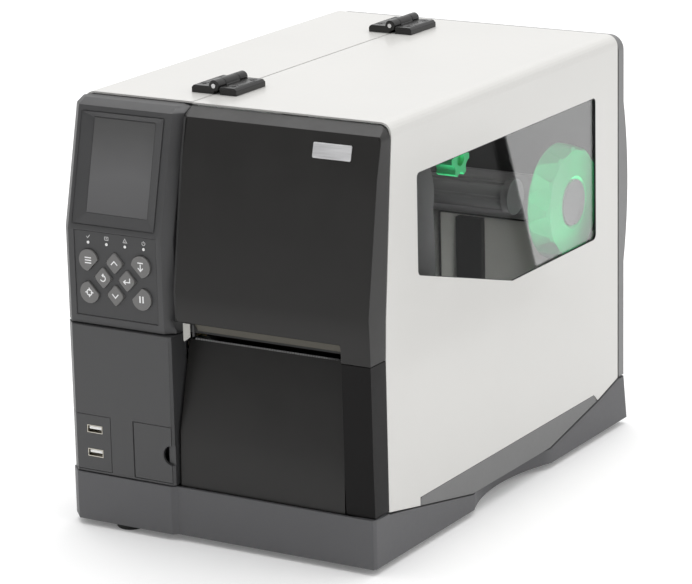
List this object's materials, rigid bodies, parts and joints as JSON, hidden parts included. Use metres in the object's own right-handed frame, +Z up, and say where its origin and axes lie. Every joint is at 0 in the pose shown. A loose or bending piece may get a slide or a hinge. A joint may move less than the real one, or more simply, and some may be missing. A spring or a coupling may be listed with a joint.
{
  "type": "label maker",
  "caption": "Industrial thermal-transfer label maker with a control housing, a windowed media door on top hinges, a tear-off slot and a full print mechanism.",
  "frame": {"origin": "on the floor under the middle of the bounding box", "axes": "+Z up; the front with the screen and label slot faces -Y; the media door is on the +X side"},
  "size_m": [0.28, 0.44, 0.352],
  "materials": {
    "white_coat": "semi-gloss powder coat with a fine orange peel",
    "rear_coat": "satin grey coat",
    "bezel_plastic": "fine spark-eroded texture",
    "door_plastic": "satin, fine spark-eroded texture",
    "base_plastic": "fine spark-eroded texture",
    "grip_plastic": "fine spark-eroded texture",
    "key_plastic": "silicone rubber keys, satin, printed pictograms",
    "keypad_film": "matt film",
    "hinge_black": "black coated die-casting",
    "screw_black": "black oxide",
    "foot_rubber": "matt",
    "platen_rubber": "ground, satin",
    "belt_rubber": "matt",
    "window_clear": "clear smoked acrylic, polished",
    "display_glass": "glossy panel, unlit",
    "led_lens": "clear lens",
    "badge_metal": "satin, blank",
    "zinc_steel": "zinc plated sheet",
    "dark_steel": "black coat",
    "bright_steel": "ground shaft",
    "spring_steel": "bright wire",
    "head_metal": "anodised, satin",
    "bronze": "sintered bronze",
    "pulley_metal": "machined",
    "motor_coat": "black, laminated sides",
    "spindle_plastic": "satin",
    "dark_plastic": "satin",
    "green_plastic": "satin, moulded",
    "inlet_plastic": "moulded",
    "port_metal": "tin plated",
    "tongue_plastic": "moulded",
    "board_green": "solder mask"
  },
  "bodies": {
    "frame": {"base_tray": "base_plastic", "rubber_feet": "foot_rubber", "chassis_frame": "zinc_steel", "left_cover": "white_coat", "rear_cover": "rear_coat", "power_inlet": "inlet_plastic", "interface_ports": "port_metal", "circuit_board": "board_green", "power_supply": "zinc_steel", "stepper_motor": "motor_coat", "drive_belt": "belt_rubber", "shaft_bushes": "bronze", "mech_plate": "dark_steel", "head_pivot_shaft": "bright_steel", "tear_bar": "bright_steel", "chute_panel": "door_plastic", "lower_left_panel": "bezel_plastic", "usb_plate": "bezel_plastic", "usb_shells": "port_metal", "usb_tongues": "tongue_plastic", "control_bezel": "bezel_plastic", "display_glass": "display_glass", "keypad_plate": "keypad_film", "indicator_leds": "led_lens", "media_spindle": "spindle_plastic", "hinge_fixed_leaves": "hinge_black", "hinge_pins": "bright_steel", "hinge_fixed_screws": "screw_black"},
    "door": {"door_shell": "white_coat", "door_window": "window_clear", "door_front_cover": "door_plastic", "door_lower_strip": "door_plastic", "door_grip": "grip_plastic", "hinge_door_leaves": "hinge_black", "hinge_door_screws": "screw_black", "badge_plate": "badge_metal"},
    "hatch": {"connector_hatch": "bezel_plastic"},
    "rocker": {"power_rocker": "inlet_plastic"},
    "platen": {"platen_shaft": "bright_steel", "platen_roller": "platen_rubber", "platen_pulley": "pulley_metal"},
    "motor_rotor": {"motor_pulley": "pulley_metal"},
    "print_head": {"head_bracket": "dark_steel", "thermal_printhead": "head_metal", "head_springs": "spring_steel"},
    "latch": {"head_lever": "dark_plastic"},
    "ribbon_supply": {"ribbon_supply_spindle": "dark_plastic"},
    "ribbon_takeup": {"ribbon_takeup_spindle": "dark_plastic", "ribbon_takeup_knob": "green_plastic"},
    "guide": {"guide_roller": "dark_plastic"},
    "retainer": {"media_retainer": "green_plastic"},
    "menu_key": {"menu_button": "key_plastic"},
    "feed_key": {"feed_button": "key_plastic"},
    "calibrate_key": {"calibrate_button": "key_plastic"},
    "pause_key": {"pause_button": "key_plastic"},
    "up_key": {"up_button": "key_plastic"},
    "down_key": {"down_button": "key_plastic"},
    "back_key": {"back_button": "key_plastic"},
    "enter_key": {"enter_button": "key_plastic"}
  },
  "joints": [
    {"name": "door_swing", "type": "hinge", "parent": "frame", "child": "door", "pos_m": [-0.0373, 0, 0.3475], "axis": [0, -1, 0], "range_deg": [0, 110]},
    {"name": "hatch_swing", "type": "hinge", "parent": "frame", "child": "hatch", "pos_m": [-0.0744, -0.2174, 0.0693], "axis": [0, 0, -1], "range_deg": [0, 95]},
    {"name": "power_switch", "type": "hinge", "parent": "frame", "child": "rocker", "pos_m": [-0.075, 0.201, 0.069], "axis": [1, 0, 0], "range_deg": [0, 14]},
    {"name": "platen_spin", "type": "hinge", "parent": "frame", "child": "platen", "pos_m": [0, -0.178, 0.1505], "axis": [1, 0, 0], "continuous": true},
    {"name": "motor_spin", "type": "hinge", "parent": "frame", "child": "motor_rotor", "pos_m": [0, -0.11, 0.1505], "axis": [1, 0, 0], "continuous": true},
    {"name": "latch_turn", "type": "hinge", "parent": "frame", "child": "latch", "pos_m": [0, -0.128, 0.226], "axis": [1, 0, 0], "range_deg": [0, 80]},
    {"name": "head_lift", "type": "hinge", "parent": "frame", "child": "print_head", "pos_m": [0, -0.12, 0.193], "axis": [-1, 0, 0], "range_deg": [0, 24]},
    {"name": "ribbon_supply_spin", "type": "hinge", "parent": "frame", "child": "ribbon_supply", "pos_m": [0, 0.05, 0.233], "axis": [1, 0, 0], "continuous": true},
    {"name": "ribbon_takeup_spin", "type": "hinge", "parent": "frame", "child": "ribbon_takeup", "pos_m": [0, -0.04, 0.283], "axis": [1, 0, 0], "continuous": true},
    {"name": "guide_spin", "type": "hinge", "parent": "frame", "child": "guide", "pos_m": [0, -0.084, 0.176], "axis": [1, 0, 0], "continuous": true},
    {"name": "retainer_slide", "type": "slide", "parent": "frame", "child": "retainer", "axis": [1, 0, 0], "range_m": [-0.09, 0]},
    {"name": "menu_press", "type": "slide", "parent": "frame", "child": "menu_key", "axis": [0, 1, 0], "range_m": [0, 0.001], "stiffness_N_per_m": 900},
    {"name": "feed_press", "type": "slide", "parent": "frame", "child": "feed_key", "axis": [0, 1, 0], "range_m": [0, 0.001], "stiffness_N_per_m": 900},
    {"name": "calibrate_press", "type": "slide", "parent": "frame", "child": "calibrate_key", "axis": [0, 1, 0], "range_m": [0, 0.001], "stiffness_N_per_m": 900},
    {"name": "pause_press", "type": "slide", "parent": "frame", "child": "pause_key", "axis": [0, 1, 0], "range_m": [0, 0.001], "stiffness_N_per_m": 900},
    {"name": "up_press", "type": "slide", "parent": "frame", "child": "up_key", "axis": [0, 1, 0], "range_m": [0, 0.001], "stiffness_N_per_m": 900},
    {"name": "down_press", "type": "slide", "parent": "frame", "child": "down_key", "axis": [0, 1, 0], "range_m": [0, 0.001], "stiffness_N_per_m": 900},
    {"name": "back_press", "type": "slide", "parent": "frame", "child": "back_key", "axis": [0, 1, 0], "range_m": [0, 0.001], "stiffness_N_per_m": 900},
    {"name": "enter_press", "type": "slide", "parent": "frame", "child": "enter_key", "axis": [0, 1, 0], "range_m": [0, 0.001], "stiffness_N_per_m": 900}
  ],
  "couplings": [
    {"joint": "motor_spin", "follows": "platen_spin", "ratio": 1.5},
    {"joint": "head_lift", "follows": "latch_turn", "ratio": 0.3}
  ]
}
